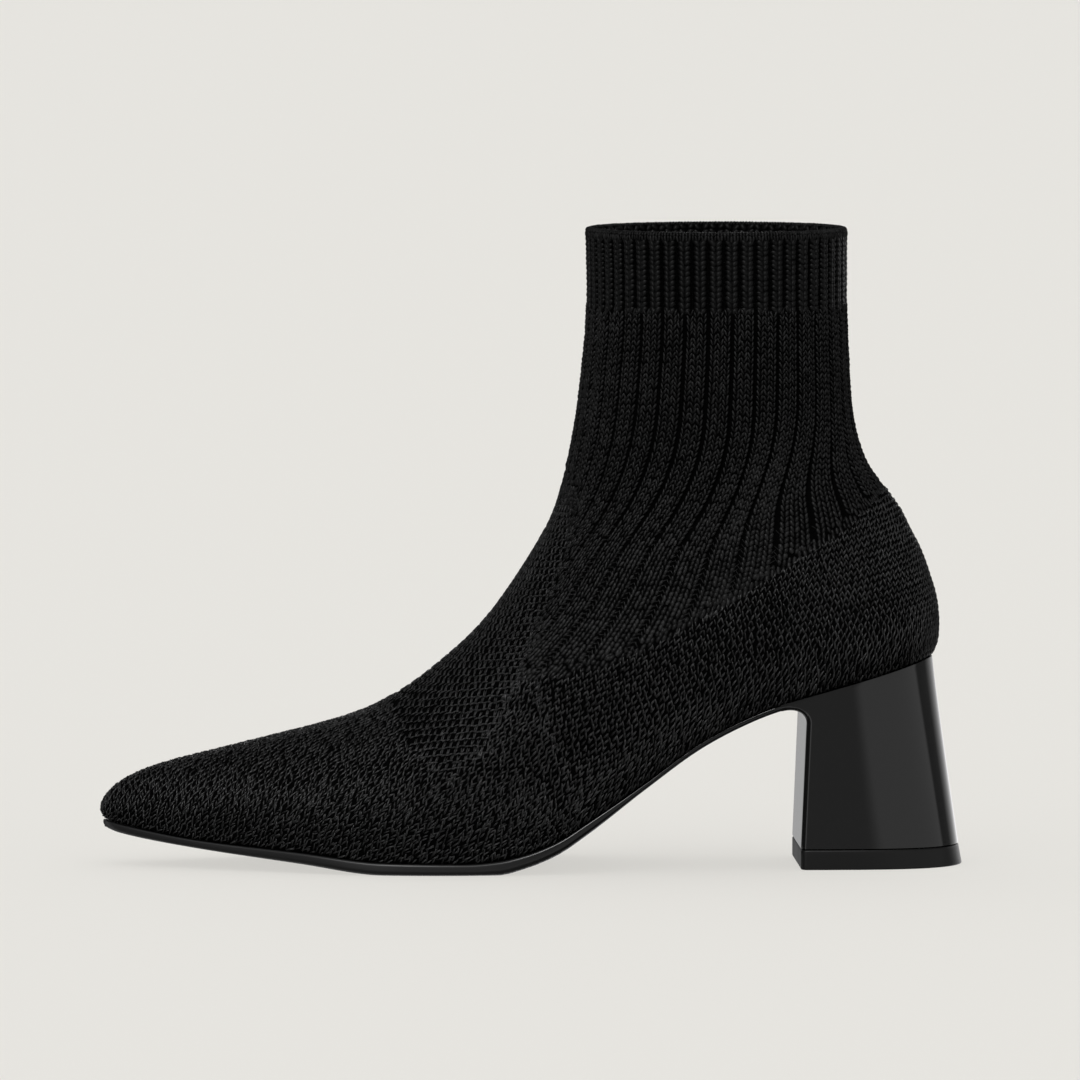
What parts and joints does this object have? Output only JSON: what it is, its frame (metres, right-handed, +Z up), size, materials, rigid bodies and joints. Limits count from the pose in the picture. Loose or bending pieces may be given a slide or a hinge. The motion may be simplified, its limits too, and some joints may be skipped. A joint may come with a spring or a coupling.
{
  "type": "ankle boot",
  "caption": "Pull-on knitted ankle boot for the left foot with a pointed toe, ribbed shaft and cuff, thin rubber sole and a flared glossy block heel.",
  "frame": {"origin": "middle of the footprint box, on the ground", "axes": "toe toward -X and heel toward +X, outer side of the foot toward -Y, collar up along +Z"},
  "size_m": [0.2581, 0.0822, 0.1909],
  "materials": {
    "knit": "matte rib and mesh knit",
    "sole_rubber": "satin",
    "heel_gloss": "polished",
    "lift_rubber": "matte",
    "footbed": "matte"
  },
  "bodies": {
    "root": {"upper": "knit", "outsole": "sole_rubber", "heel": "heel_gloss", "top_piece": "lift_rubber", "insole": "footbed"}
  },
  "joints": []
}
